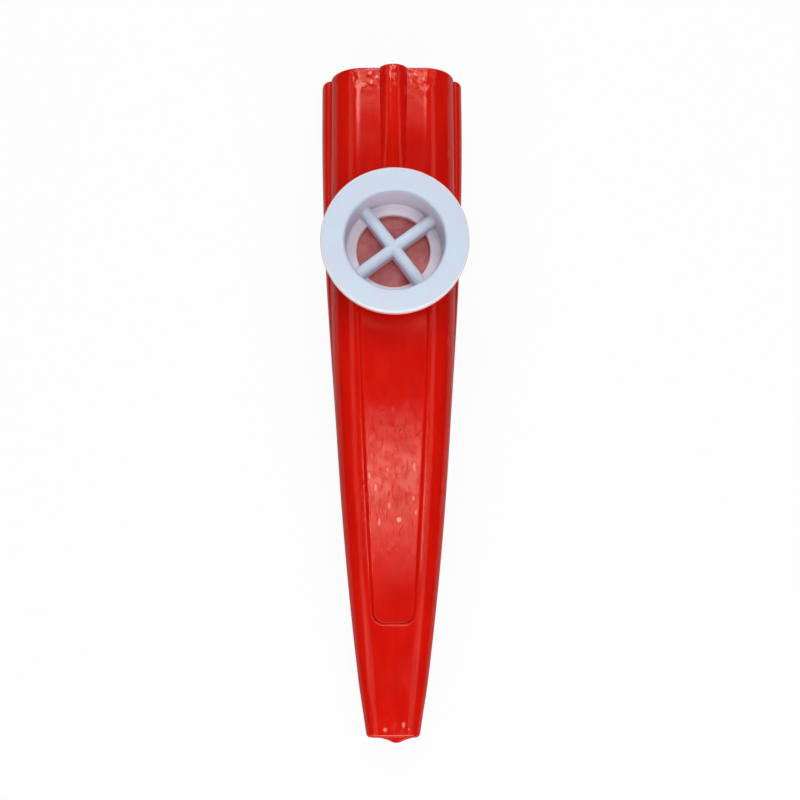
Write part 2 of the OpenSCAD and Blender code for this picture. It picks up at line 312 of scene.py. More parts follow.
def make_lamp(name, tilt_x, tilt_y, wide, tall, radiance, colour=(1, 1, 1)):
    """Soft rectangular lamp that faces the kazoo, from a row of LAMPS."""
    data = bpy.data.lights.new(name, "AREA")
    data.shape = "RECTANGLE"
    data.size, data.size_y = (2 * LAMP_DISTANCE * math.tan(math.radians(angle / 2)) for angle in (wide, tall))
    data.energy = radiance * math.pi * data.size * data.size_y
    data.color = colour
    lamp = bpy.data.objects.new(name, data)
    way = Vector((math.tan(math.radians(tilt_x)), math.tan(math.radians(tilt_y)), 1)).normalized()
    lamp.location = CENTRE + way * LAMP_DISTANCE
    lamp.rotation_euler = way.to_track_quat("Z", "Y").to_euler()
    bpy.context.scene.collection.objects.link(lamp)


def make_world():
    """Dim even surroundings that light the kazoo; the camera itself sees white."""
    world = bpy.data.worlds.new("world")
    world.use_nodes = True
    nodes, links = world.node_tree.nodes, world.node_tree.links
    nodes.clear()
    light = nodes.new("ShaderNodeBackground")
    light.inputs["Color"].default_value = SKY
    light.inputs["Strength"].default_value = SKY_STRENGTH
    seen = nodes.new("ShaderNodeBackground")
    seen.inputs["Color"].default_value = WHITE
    seen.inputs["Strength"].default_value = 1
    path = nodes.new("ShaderNodeLightPath")
    blend = nodes.new("ShaderNodeMixShader")
    output = nodes.new("ShaderNodeOutputWorld")
    links.new(path.outputs["Is Camera Ray"], blend.inputs[0])
    links.new(light.outputs[0], blend.inputs[1])
    links.new(seen.outputs[0], blend.inputs[2])
    links.new(blend.outputs[0], output.inputs[0])
    bpy.context.scene.world = world


def make_floor():
    """Pale floor that keeps a faint shadow under the kazoo."""
    half = FLOOR_HALF
    floor = mesh_object("floor", [(-half, -half, 0), (half, -half, 0), (half, half, 0), (-half, half, 0)],
                        [(0, 1, 2, 3)])
    material = bpy.data.materials.new("floor")
    material.use_nodes = True
    nodes, links = material.node_tree.nodes, material.node_tree.links
    nodes.clear()
    path = nodes.new("ShaderNodeLightPath")
    shade = nodes.new("ShaderNodeMix")
    shade.data_type = "RGBA"
    shade.inputs[MIX_A].default_value = FLOOR_REFLECTED
    shade.inputs[MIX_B].default_value = FLOOR_SEEN
    paper = nodes.new("ShaderNodeBsdfDiffuse")
    glow = nodes.new("ShaderNodeEmission")
    share = nodes.new("ShaderNodeMath")
    share.operation = "MULTIPLY"
    share.inputs[1].default_value = FLOOR_GLOW_SHARE
    blend = nodes.new("ShaderNodeMixShader")
    output = nodes.new("ShaderNodeOutputMaterial")
    links.new(path.outputs["Is Camera Ray"], shade.inputs["Factor"])
    links.new(shade.outputs[MIX_RESULT], paper.inputs["Color"])
    links.new(path.outputs["Is Camera Ray"], share.inputs[0])
    links.new(share.outputs[0], blend.inputs[0])
    links.new(paper.outputs[0], blend.inputs[1])
    links.new(glow.outputs[0], blend.inputs[2])
    links.new(blend.outputs[0], output.inputs[0])
    floor.data.materials.append(material)


# Materials


class Shader:
    """A Principled material and short ways to add procedural detail to it."""

    def __init__(self, name, sockets):
        self.material = bpy.data.materials.new(name)
        self.material.use_nodes = True
        self.nodes = self.material.node_tree.nodes
        self.links = self.material.node_tree.links
        self.surface = self.nodes["Principled BSDF"]
        for socket, value in sockets.items():
            self.surface.inputs[socket].default_value = value
        self.place = self.nodes.new("ShaderNodeTexCoord").outputs["Object"]

    def noise(self, size, detail, stretch=(1, 1, 1)):
        """Noise with features of a size in metres, times the stretch along X, Y and Z."""
        mapping = self.nodes.new("ShaderNodeMapping")
        mapping.inputs["Scale"].default_value = [1 / (size * share) for share in stretch]
        texture = self.nodes.new("ShaderNodeTexNoise")
        texture.inputs["Scale"].default_value = 1
        texture.inputs["Detail"].default_value = detail
        self.links.new(self.place, mapping.inputs["Vector"])
        self.links.new(mapping.outputs[0], texture.inputs["Vector"])
        return texture.outputs["Fac"]

    def coordinate(self, axis):
        """The object's own X, Y or Z, in metres."""
        parts = self.nodes.new("ShaderNodeSeparateXYZ")
        self.links.new(self.place, parts.inputs[0])
        return parts.outputs[axis]

    def radius(self):
        """Distance from the cap's axis, in metres."""
        across = self.coordinate("X")
        along = self.math("SUBTRACT", self.coordinate("Y"), CAP_Y)
        return self.math("SQRT", self.plus(self.times(across, across), self.times(along, along)))

    def math(self, operation, *values):
        """One sum of sockets and numbers."""
        node = self.nodes.new("ShaderNodeMath")
        node.operation = operation
        self.fill(node.inputs, values)
        return node.outputs[0]

    def plus(self, a, b):
        return self.math("ADD", a, b)

    def times(self, a, b):
        return self.math("MULTIPLY", a, b)

    def ranged(self, value, low, high, to_low=0.0, to_high=1.0):
        """The value eased from to_low at low to to_high at high, and level outside them."""
        node = self.nodes.new("ShaderNodeMapRange")
        node.interpolation_type = "SMOOTHSTEP"
        for key, number in zip(("From Min", "From Max", "To Min", "To Max"), (low, high, to_low, to_high)):
            node.inputs[key].default_value = number
        self.links.new(value, node.inputs["Value"])
        return node.outputs["Result"]

    def fading(self, value, low, high):
        """1 below low, 0 above high."""
        return self.ranged(value, low, high, 1, 0)

    def colours(self, share, a, b):
        """Mix of two colours, each given as numbers or as a socket."""
        node = self.nodes.new("ShaderNodeMix")
        node.data_type = "RGBA"
        self.links.new(share, node.inputs["Factor"])
        self.fill((node.inputs[MIX_A], node.inputs[MIX_B]), (a, b))
        return node.outputs[MIX_RESULT]

    def fill(self, inputs, values):
        """Links each socket among the values to its input, and sets the numbers and colours."""
        for socket, value in zip(inputs, values):
            if isinstance(value, bpy.types.NodeSocket):
                self.links.new(value, socket)
            else:
                socket.default_value = value

    def spot(self, x, y, nick):
        """Low drop-shaped mark, from a row of NICKS."""
        spot_x, spot_y, half_w, half_l, height = nick
        across = self.math("DIVIDE", self.math("SUBTRACT", x, spot_x * MM), half_w * MM)
        along = self.math("DIVIDE", self.math("SUBTRACT", y, spot_y * MM), half_l * MM)
        squares = self.plus(self.times(across, across), self.times(along, along))
        return self.ranged(squares, 0, 1, height, 0)

    def edges(self):
        """1 on sharp outer edges, 0 elsewhere."""
        geometry = self.nodes.new("ShaderNodeNewGeometry")
        return self.ranged(geometry.outputs["Pointiness"], 0.53, 0.62)

    def set(self, socket, value):
        self.links.new(value, self.surface.inputs[socket])

    def bump(self, height, distance, strength=1.0):
        node = self.nodes.new("ShaderNodeBump")
        node.inputs["Distance"].default_value = distance
        node.inputs["Strength"].default_value = strength
        self.links.new(height, node.inputs["Height"])
        self.links.new(node.outputs[0], self.surface.inputs["Normal"])


def nick_heights(made, x, y, z):
    """Heights of all the small flow marks together, on the top of the body only; they also place the painted
    glints.
    """
    heights = made.spot(x, y, NICKS[0])
    for nick in NICKS[1:]:
        heights = made.plus(heights, made.spot(x, y, nick))
    return made.times(heights, made.ranged(z, *NICKS_Z))


def red_plastic():
    """Glossy moulded plastic: flow streaks, orange peel, flecks by the mouth and on the panel, scuffs in the
    gloss, and painted glints on the small flow marks.
    """
    made = Shader("red_plastic", {"Roughness": 0.14, "IOR": 1.49, "Specular Tint": RED_GLOSS})
    x, y, z = (made.coordinate(axis) for axis in "XYZ")
    across = made.math("ABSOLUTE", x)
    nicks = nick_heights(made, x, y, z)
    panel = made.times(made.ranged(y, *FLECKS_TIP_Y), made.fading(y, *FLECKS_MOUTH_Y))
    panel = made.times(panel, made.fading(across, *FLECKS_X))
    on_ridge = made.times(made.fading(across, *DRAG_X), made.ranged(y, *DRAG_Y))

    streaks = made.noise(2.2 * MM, 4, (1, 6, 1))
    colour = made.colours(made.ranged(streaks, 0.35, 0.65), RED_DEEP, RED)
    colour = made.colours(made.times(made.edges(), 0.3), colour, RED_EDGE)
    # The flow marks' cores get a painted glint
    painted_glints = made.ranged(nicks, 0.3, 3.0, 0, 0.75)
    made.set("Base Color", made.colours(painted_glints, colour, PAINTED_GLINT))

    haze = made.ranged(made.noise(5 * MM, 4), 0.3, 0.7, 0.10, 0.17)
    scuffs = made.ranged(made.noise(0.25 * MM, 2, (1, 9, 1)), 0.66, 0.8, 0, 0.06)
    blotches = made.ranged(made.noise(1.3 * MM, 3, (1, 1.6, 1)), 0.36, 0.64, 0.02, 0.15)
    made.set("Roughness", made.plus(made.plus(haze, scuffs), made.times(panel, blotches)))

    peel = made.times(made.noise(0.8 * MM, 2), 0.25)
    pits = made.times(made.noise(0.7 * MM, 3), made.times(made.ranged(y, *PITS_Y), 2.2))
    drag = made.times(made.noise(0.55 * MM, 2, (1.3, 2.4, 1)), made.times(on_ridge, 1.5))
    flecks = made.ranged(made.noise(0.42 * MM, 2, (1, 4, 1)), 0.58, 0.75)
    marks = made.plus(made.times(flecks, made.times(panel, 1.3)), made.times(nicks, 0.6))
    made.bump(made.plus(made.plus(peel, drag), made.plus(pits, marks)), 0.02 * MM)
    return made.material


def pale_plastic():
    """Satin pale plastic of the cap: faint clouds, painted shade and red bounce light in the well, painted
    light on its floor, a painted pink highlight on the sound hole's lip, and a painted highlight and painted
    red reflection round the flange's edge.
    """
    made = Shader("pale_plastic", {"Roughness": 0.32, "IOR": 1.47})
    z = made.coordinate("Z")
    radius = made.radius()
    # Painted shade and red bounce light on the well's wall
    wall = made.times(made.fading(z, *SUNK_Z), made.ranged(radius, *WELL_WALL_R))
    # Painted light and red bounce light on the well's floor and below it
    floor = made.fading(z, *WELL_FLOOR_Z)
    # Painted pink highlight on the sound hole's lip
    hole = made.times(made.fading(radius, *HOLE_EDGE_R), floor)
    # Painted highlight along the flange's rounded edge
    rim = made.ranged(radius, *RIM_R)
    # Painted reflection of the red body on the flange's side
    painted_rim_reflection = made.times(rim, made.fading(z, *RIM_SIDE_Z))

    clouds = made.noise(3.5 * MM, 4)
    colour = made.colours(made.ranged(clouds, 0.35, 0.7), PALE, PALE_LILAC)
    colour = made.colours(wall, colour, WELL_SHADE_AND_BOUNCE)
    colour = made.colours(floor, colour, WELL_FLOOR_PAINTED_LIGHT)
    colour = made.colours(hole, colour, HOLE_LIP_HIGHLIGHT)
    colour = made.colours(rim, colour, RIM_PAINTED_HIGHLIGHT)
    made.set("Base Color", made.colours(painted_rim_reflection, colour, RIM_RED_REFLECTION))
    return made.material


def film():
    """Thin translucent membrane, unevenly cloudy, with fine wrinkles."""
    made = Shader("film", {"Roughness": 0.42, "IOR": 1.45, "Alpha": 0.92})
    clouds = made.noise(1.8 * MM, 5)
    made.set("Base Color", made.colours(made.ranged(clouds, 0.3, 0.7), FILM, FILM_PALE))
    fibres = made.noise(0.3 * MM, 4, (1, 3, 1))
    made.bump(fibres, 0.02 * MM, 0.8)
    return made.material


def card():
    """Pressed fibre of the membrane's ring."""
    made = Shader("card", {"Roughness": 0.85, "IOR": 1.45})
    fibres = made.noise(0.22 * MM, 5, (1, 2.5, 1))
    made.set("Base Color", made.colours(made.ranged(fibres, 0.3, 0.7), CARD_DARK, CARD))
    made.bump(fibres, 0.05 * MM, 0.9)
    return made.material


# Outline of the body, the same curves as the part's source; s runs from 0 at the mouth to 1 at the tip


def ease(t):
    """Smooth step from 0 at 0 to 1 at 1."""
    t = min(max(t, 0.0), 1.0)
    return t * t * (3 - 2 * t)


def mix(a, b, t):
    """The value a share t of the way from a to b."""
    return a + (b - a) * t


def fall(s, start, power):
    """1 as far as start, then down to 0 at the tip."""
    return 1 - max(0.0, (s - start) / (1 - start)) ** power


def arch_half(s):
    return mix(TIP_W, ARCH_W, fall(s, TAPER_START_SHARE, TAPER_POWER)) / 2


def depth(s):
    return mix(TIP_H, MOUTH_H, fall(s, SLOPE_START_SHARE, SLOPE_POWER)) / 2


def rib_out(s):
    return (BODY_W - ARCH_W) / 2 * (1 - ease((s - RIB_FADE_START_SHARE) / RIB_FADE_SHARE))


def flat_half(s):
    return arch_half(s) * mix(*FLAT_SHARES, s)


def crease_up(s):
    return depth(s) * (1 - mix(*SHOULDER_SHARES, s))


def ridge_fade(s):
    return 1 - ease(s * BODY_L / RIDGE_L)


def ridge_half(s):
    return RIDGE_W / 2 * mix(RIDGE_END_SHARE, 1, ridge_fade(s))


def panel_half(s):
    return arch_half(s) * mix(*PANEL_SHARES, s)


def tongue_up(s):
    return TONGUE_H * (crease_up(s) - WALL) / (crease_up(0) - WALL)


def edge_inset(from_end, radius):
    """How far a rounded end pulls the skin in, at a distance from the end."""
    return 0.0 if from_end >= radius else radius - math.sqrt(max(radius ** 2 - (radius - from_end) ** 2, 0))


# Meshes


def mesh_object(name, points, faces):
    mesh = bpy.data.meshes.new(name)
    mesh.from_pydata(points, [], faces)
    obj = bpy.data.objects.new(name, mesh)
    bpy.context.scene.collection.objects.link(obj)
    return obj


def cleaned(obj):
    """Joins doubled points and turns every face outwards."""
    mesh = bmesh.new()
    mesh.from_mesh(obj.data)
    bmesh.ops.remove_doubles(mesh, verts=mesh.verts, dist=0.5 * TINY)
    bmesh.ops.dissolve_degenerate(mesh, edges=mesh.edges, dist=0.5 * TINY)
    bmesh.ops.recalc_face_normals(mesh, faces=mesh.faces)
    mesh.to_mesh(obj.data)
    mesh.free()
    return obj


def band(size, here, there):
    """Quads between two closed rings of equal size, given the number of each ring's first point."""
    return [(here + i, here + (i + 1) % size, there + (i + 1) % size, there + i) for i in range(size)]


def tube(name, rings, closed_round=False):
    """Quads through rings of equal size; the ends get a flat face each, or join up if closed_round."""
    size, count = len(rings[0]), len(rings)
    faces = []
    for k in range(count if closed_round else count - 1):
        faces += band(size, k * size, (k + 1) % count * size)
    if not closed_round:
        faces += [tuple(reversed(range(size))), tuple(range((count - 1) * size, count * size))]
    return cleaned(mesh_object(name, [point for ring in rings for point in ring], faces))


def smooth(obj, angle=38):
    """Shades the object smooth, apart from edges sharper than an angle in degrees."""
    obj.data.shade_smooth()
    obj.data.set_sharp_from_angle(angle=math.radians(angle))
    return obj


def applied(obj, kind, **settings):
    """The object with one modifier applied to its mesh."""
    modifier = obj.modifiers.new(kind.lower(), kind)
    for key, value in settings.items():
        setattr(modifier, key, value)
    graph = bpy.context.evaluated_depsgraph_get()
    mesh = bpy.data.meshes.new_from_object(obj.evaluated_get(graph))
    obj.modifiers.clear()
    old = obj.data
    obj.data = mesh
    bpy.data.meshes.remove(old)
    return obj


def combined(obj, other, operation):
    """The object joined with or cut by another, which is used up."""
    applied(obj, "BOOLEAN", operation=operation, object=other, solver="EXACT")
    bpy.data.objects.remove(other)
    return obj


def steps_between(a, b, steps):
    """Even steps from a to b, without a itself."""
    return [mix(a, b, (i + 1) / steps) for i in range(steps)]


def quarter_cosines(steps):
    """Cosines of even steps from just off 0 degrees to 90 degrees, the last exactly 0."""
    return [math.cos(QUARTER_TURN * i / steps) for i in range(1, steps)] + [0.0]


def arc(x, z, rx, rz, start, end, steps, first=1):
    """Points on a part of an ellipse about (x, z), between two angles in degrees."""
    turns = [math.radians(mix(start, end, i / steps)) for i in range(first, steps + 1)]
    return [(x + rx * math.cos(t), z + rz * math.sin(t)) for t in turns]


def line(a, b, steps):
    """Points on a straight line from a to b, without a itself."""
    return list(zip(steps_between(a[0], b[0], steps), steps_between(a[1], b[1], steps)))


def level(a, b, z, steps):
    """Points at one height from radius a to radius b, without the first."""
    return [(r, z) for r in steps_between(a, b, steps)]


def fillet(a, corner, b, steps):
    """Points of a soft curve from a to b that bends at corner, without its first point."""
    made = []
    for i in range(1, steps + 1):
        t = i / steps
        shares = ((1 - t) ** 2, 2 * t * (1 - t), t * t)
        pairs = list(zip(shares, (a, corner, b)))
        made.append(tuple(sum(share * point[k] for share, point in pairs) for k in (0, 1)))
    return made


# The body's shells


def stations():
    """Places along the body: close together round both ends, at the mouth and at the panel's far end."""
    stops = [
        (MOUTH_Y - 12 * MM, 44),
        (PANEL_END_Y + 4 * MM, 130),
        (PANEL_END_Y - 1.5 * MM, 56),
        (TIP_Y + 5 * MM, 34),
        (TIP_Y + TIP_ROUND, 16),
    ]
    rounds = [1 - math.cos(QUARTER_TURN * i / END_STEPS) for i in range(END_STEPS)]
    places = [MOUTH_Y - MOUTH_ROUND * share for share in rounds]
    start = MOUTH_Y - MOUTH_ROUND
    places.append(start)
    for end, steps in stops:
        places += steps_between(start, end, steps)
        start = end
    return places + [TIP_Y + TIP_ROUND * share for share in reversed(rounds)]


def outer_half(s, inset, is_top):
    """Outer skin of the right half, from the seam to the centre line, as (x, height off the seam)."""
    side, flat, crease = arch_half(s) - inset, flat_half(s), crease_up(s)
    top = depth(s) - inset + (0 if is_top else SOLE_CUT)
    rib = rib_out(s)
    edge = side + rib

    def arch(x):
        if x <= flat:
            return top
        return crease + (top - crease) * math.sqrt(max(1 - ((x - flat) / (side - flat)) ** 2, 0))

    # The crease between the rib and the arch is filled from a little out on the rib to a little up the arch
    bend = 2 / RIB_POWER
    rib_start = math.asin((RIB_LIFT / crease) ** (1 / bend))
    rib_end = math.acos(min(CREASE_FILLET / max(rib, TINY), CREASE_RIB_SHARE) ** (1 / bend))
    turns = [mix(rib_start, rib_end, i / RIB_STEPS) for i in range(RIB_STEPS + 1)]
    above = flat + (side - flat) * math.sqrt(1 - (CREASE_FILLET / (top - crease)) ** 2)
    points = [(edge - SEAM_LIP, 0), (edge - SEAM_BEVEL, SEAM_BEVEL), (edge, SEAM_LIP)]
    points += [(side + rib * math.cos(t) ** bend, crease * math.sin(t) ** bend) for t in turns]
    points += fillet(points[-1], (side, crease), (above, crease + CREASE_FILLET), CREASE_STEPS)

    ridge = ridge_half(s)
    outer_edge = panel_half(s) + PANEL_WALL / 2
    inner_edge = outer_edge - PANEL_WALL
    across = [outer_edge + (above - outer_edge) * share for share in quarter_cosines(SHOULDER_STEPS)]
    across += steps_between(outer_edge, inner_edge, PANEL_WALL_STEPS)
    across += steps_between(inner_edge, ridge, FLAT_STEPS)
    points += [(x, arch(x)) for x in across]

    rise = RIDGE_H * ridge_fade(s) if is_top else 0
    power = mix(*RIDGE_POWERS, ridge_fade(s))
    crown = quarter_cosines(CROWN_STEPS)
    return points + [(ridge * share, top + rise * (1 - share * share) ** power) for share in crown]


def inner_half(s, inset, is_top, count):
    """Inner skin of the right half; the top shell is rebated at the seam, the bottom has the tongue."""
    side, flat, crease = arch_half(s) - WALL + inset, flat_half(s), crease_up(s)
    top = depth(s) - WALL + inset
    rib, rib_top = rib_out(s), crease - WALL + inset
    face = arch_half(s) - WALL + rib
    if is_top:
        corner = (face + TONGUE_T + TONGUE_GAP, tongue_up(s) + TONGUE_GAP)
        start = math.degrees(math.asin(corner[1] / rib_top))
        rib_arc = arc(side, 0, rib, rib_top, start, 90, INNER_RIB_STEPS, 0)
        points = [(corner[0], 0)] + line((corner[0], 0), corner, TONGUE_STEPS)
        points += line(corner, rib_arc[0], TONGUE_STEPS) + rib_arc[1:]
    else:
        tip, heel = (face + TONGUE_T, -tongue_up(s)), (face + inset, -tongue_up(s))
        points = [(tip[0], 0)] + line((tip[0], 0), tip, TONGUE_STEPS) + line(tip, heel, TONGUE_STEPS)
        points += line(heel, (heel[0], 0), TONGUE_STEPS) + arc(side, 0, rib, rib_top, 0, 90, INNER_RIB_STEPS)
    points += arc(flat, crease, side - flat, top - crease, 0, 90, INNER_ARCH_STEPS)
    return points + line((flat, top), (0, top), count - len(points))


def panel_share(x, y):
    """1 on the recessed panel's floor, 0 outside it, eased over its sloped wall."""
    s = (MOUTH_Y - y) / BODY_L
    across = abs(x) - panel_half(s) + PANEL_CORNER
    endwards = PANEL_END_Y + PANEL_CORNER - y
    outside = math.hypot(max(across, 0), max(endwards, 0)) + min(max(across, endwards), 0) - PANEL_CORNER
    to_end = max(endwards, 0) / (max(endwards, 0) + max(across, TINY))
    wall = ease(0.5 - outside / mix(PANEL_WALL, PANEL_END_WALL, to_end)) ** PANEL_WALL_POWER
    return wall * ease((CAP_Y - y) / PANEL_START)


def unevenness(x, y, wide, long, seed):
    """Smooth noise between -1 and 1, in patches of about a width and length in mm."""
    return noise.noise(Vector((x / (wide * MM), y / (long * MM), seed)))


def ripple(x, y):
    """Height of the uneven moulded skin: sink marks at the mouth end, flow marks on the panel and the tip."""
    mouth = ease((y - MOUTH_Y + SINK_L) / SINK_FADE)
    panel = ease((y - FLOW_START) / FLOW_FADE) * ease((FLOW_END - y) / FLOW_END_FADE)
    tip = ease((TIP_FLOW_START - y) / TIP_FLOW_FADE)
    end = ease((END_FLOW_START - y) / END_FLOW_FADE)
    pits = unevenness(x, y, 1.2, 1.4, 3.1) + 0.6 * unevenness(x, y, 0.8, 1.0, 7.7)
    both = pits + unevenness(x, y, 1.3, 5, 12.4)
    height = SINK_HEIGHT * mouth * pits + FLOW_HEIGHT * panel * both
    height += (TIP_FLOW_HEIGHT * tip + END_FLOW_HEIGHT * end) * both
    return (height + SWELL_HEIGHT * unevenness(x, y, 6, 14, 21.9)) * MM


def skin_height(x, y, z, s):
    """Height of a point of the top's outer skin, with the panel's recess and the skin's unevenness."""
    floor = 2 * depth(s) - PANEL_DEPTH
    low = z + (min(z, floor) - z) * panel_share(x, y)
    upward = ease((low - depth(s) - crease_up(s)) / (0.5 * depth(s)))
    return low + ripple(x, y) * upward


def both_halves(half):
    """The right half's points, then their mirror images back to the seam."""
    return half + [(-x, z) for x, z in reversed(half[:-1])]


def shell_rings(is_top):
    """Closed rings of points along one shell: the outer skin, then the inner skin backwards."""
    way = 1 if is_top else -1
    rings = []
    for y in stations():
        s = (MOUTH_Y - y) / BODY_L
        inset = edge_inset(MOUTH_Y - y, MOUTH_ROUND) + edge_inset(y - TIP_Y, TIP_ROUND)
        lean = math.tan(TIP_RAKE) * ease((s - RAKE_START_SHARE) / RAKE_SHARE)
        right = outer_half(s, inset, is_top)
        outer = [(x, depth(s) + way * up) for x, up in both_halves(right)]
        inner = inner_half(s, inset * INNER_ROUND_SHARE, is_top, len(right))
        inner = [(x, depth(s) + way * up) for x, up in both_halves(inner)]
        if is_top:
            outer = [(x, skin_height(x, y, z, s)) for x, z in outer]
        else:
            outer = [(x, max(z, 0.0)) for x, z in outer]
        ring = outer + inner[::-1]
        rings.append([(x, max(y + lean * (z - TIP_ROUND + SOLE_CUT), TIP_Y), z) for x, z in ring])
    return rings


def make_shell(name, is_top):
    """One shell; each end is closed by faces between the outer and the inner skin."""
    rings = shell_rings(is_top)
    size, last = len(rings[0]), len(rings) - 1
    faces = []
    for k in range(last):
        faces += band(size, k * size, (k + 1) * size)
    for start in (0, last * size):
        end = start + size - 1
        faces += [(start + i, start + i + 1, end - 1 - i, end - i) for i in range(size // 2 - 1)]
    return cleaned(mesh_object(name, [point for ring in rings for point in ring], faces))


# The turret and the cap


def thread_cut(z, turn, low, high):
    """Depth of the screw thread's groove at a height and a turn, fading out at both of its ends."""
    phase = (z - BARREL_END) / PITCH - turn / (2 * math.pi)
    wave = abs(2 * (phase - math.floor(phase)) - 1)
    groove = ease((wave - GROOVE_START_SHARE) / GROOVE_FLANK_SHARE)
    return THREAD_DEPTH * groove * ease((z - low) / THREAD_FADE) * ease((high - z) / THREAD_FADE)


def circle(radius, turn):
    """A point on a circle about the cap's axis, as (x, y)."""
    return radius * math.cos(turn), CAP_Y + radius * math.sin(turn)


def lathe(name, profile):
    """Turns a closed profile round the cap's axis; profile(turn) gives [(radius, height), ...]."""
    turns = [2 * math.pi * k / TURNS for k in range(TURNS)]
    return tube(name, [[(*circle(r, turn), z) for r, z in profile(turn)] for turn in turns], True)


def make_turret():
    """Turret wall with its threaded bore, and the ledge with its hole that carries the membrane."""
    top, seat = TURRET_TOP, LEDGE_TOP
    thread_low, thread_high = seat + 1.2 * MM, top - 0.2 * MM
    heights = steps_between(seat + 0.5 * MM, top - LEAD_IN, THREAD_STEPS)

    def profile(turn):
        threaded = [(BORE_R + thread_cut(z, turn, thread_low, thread_high), z) for z in heights]
        return (
            [(SOUND_R, LEDGE_BOTTOM), (TURRET_R, LEDGE_BOTTOM)]
            + arc(TURRET_R - EDGE_LIP, top - EDGE_LIP, EDGE_LIP, EDGE_LIP, 0, 90, LIP_STEPS, 0)
            + [(BORE_R + LEAD_IN, top)]
            + threaded[::-1]
            + [(BORE_R, seat)]
            + arc(SOUND_R + EDGE_LIP, seat - EDGE_LIP, EDGE_LIP, EDGE_LIP, 90, 180, LIP_STEPS, 0)
        )

    return lathe("turret", profile)


def make_bore_cutter():
    """Plug that opens the body's top under the turret."""
    radius = (BORE_R + THREAD_DEPTH + TURRET_R) / 2
    turns = [2 * math.pi * k / TURNS for k in range(TURNS)]
    heights = (LEDGE_BOTTOM + 0.3 * MM, CAP_TOP)
    return tube("bore_cutter", [[(*circle(radius, turn), z) for turn in turns] for z in heights])


def rounded_box_ring(half_w, half_h, steps):
    """Section of a rounded bar about its own centre, as (across, up)."""
    squareness = 0.7
    ring = []
    for i in range(steps):
        across, up = math.cos(2 * math.pi * i / steps), math.sin(2 * math.pi * i / steps)
        ring.append((math.copysign(abs(across) ** squareness, across) * half_w,
                     math.copysign(abs(up) ** squareness, up) * half_h))
    return ring


def make_gate_stub():
    """Snapped stub of the moulding gate: a soft wedge that curves in to a blunt ragged end."""
    root_steps, out_steps, section_steps = 4, 14, 28
    blunt_start, blunt_span, blunt_least = 0.8, 0.205, 0.02
    thin_share = 0.75
    ragged, ragged_size = 0.08 * MM, 0.5 * MM
    root_y = TIP_Y + math.tan(TIP_RAKE) * (TIP_H - 2 * TIP_ROUND)
    mid_z = TIP_H - WALL / 2
    end_half = GATE_W / 2 * GATE_END_SHARE
    rings = []
    for k in range(root_steps + out_steps + 1):
        out = max(0, (k - root_steps) / out_steps)
        y = root_y - GATE_L * out if k >= root_steps else root_y + WALL * (1 - k / root_steps)
        blunt = math.sqrt(max(1 - max(0, (out - blunt_start) / blunt_span) ** 2, blunt_least))
        half_w = (end_half + (GATE_W / 2 - end_half) * (1 - out) ** GATE_POWER) * blunt
        half_t = GATE_T / 2 * mix(1, thin_share, out) * mix(1, blunt, 0.5)
        ring = []
        for x, up in rounded_box_ring(half_w, half_t, section_steps):
            rough = noise.noise(Vector((x, y, up)) / ragged_size) * ragged * out
            ring.append((GATE_X + x + rough, y + 0.5 * rough, mid_z + up + 0.3 * rough))
        rings.append(ring)
    return tube("gate_stub", rings)


def make_top():
    """Upper shell with the turret and the gate's stub moulded on."""
    shell = make_shell("upper_shell", True)
    combined(shell, make_bore_cutter(), "DIFFERENCE")
    combined(shell, make_turret(), "UNION")
    combined(shell, make_gate_stub(), "UNION")
    return smooth(shell)


def make_cap_blank():
    """Flange, drafted well, floor with the sound hole, and threaded barrel."""
    thread_low, thread_high = BARREL_END + 0.5 * MM, FLANGE_Z - 0.9 * MM
    heights = steps_between(BARREL_END + LEAD_IN, FLANGE_Z - 0.3 * MM, THREAD_STEPS)
    rim_x, well_x = FLANGE_R - FLANGE_ROUND, WELL_R + FLANGE_ROUND
    floor_r = WELL_R - WELL_DRAFT
    well_low = FLOOR_TOP + FLOOR_LIP

    def profile(turn):
        threaded = [(BARREL_R - thread_cut(z, turn, thread_low, thread_high), z) for z in heights]
        return (
            [(SOUND_R + EDGE_LIP, BARREL_END), (BARREL_R - LEAD_IN, BARREL_END)]
            + threaded
            + [(BARREL_R, FLANGE_Z)]
            + level(BARREL_R, rim_x, FLANGE_Z, 6)
            + arc(rim_x, FLANGE_Z + FLANGE_ROUND, FLANGE_ROUND, FLANGE_ROUND, -90, 0, LIP_STEPS)
            + arc(rim_x, CAP_TOP - FLANGE_ROUND, FLANGE_ROUND, FLANGE_ROUND, 0, 90, LIP_STEPS, 0)
            + level(rim_x, well_x, CAP_TOP, 8)
            + arc(well_x, CAP_TOP - FLANGE_ROUND, FLANGE_ROUND, FLANGE_ROUND, 90, 180, LIP_STEPS)
            + line((WELL_R, CAP_TOP - FLANGE_ROUND), (floor_r, well_low), 8)
            + arc(floor_r - FLOOR_LIP, well_low, FLOOR_LIP, FLOOR_LIP, 0, -90, 5)
            + level(floor_r - FLOOR_LIP, SOUND_R + FLOOR_LIP, FLOOR_TOP, 4)
            + arc(SOUND_R + FLOOR_LIP, FLOOR_TOP - FLOOR_LIP, FLOOR_LIP, FLOOR_LIP, 90, 180, LIP_STEPS)
            + [(SOUND_R, BARREL_END + EDGE_LIP)]
        )

    return lathe("cap", profile)


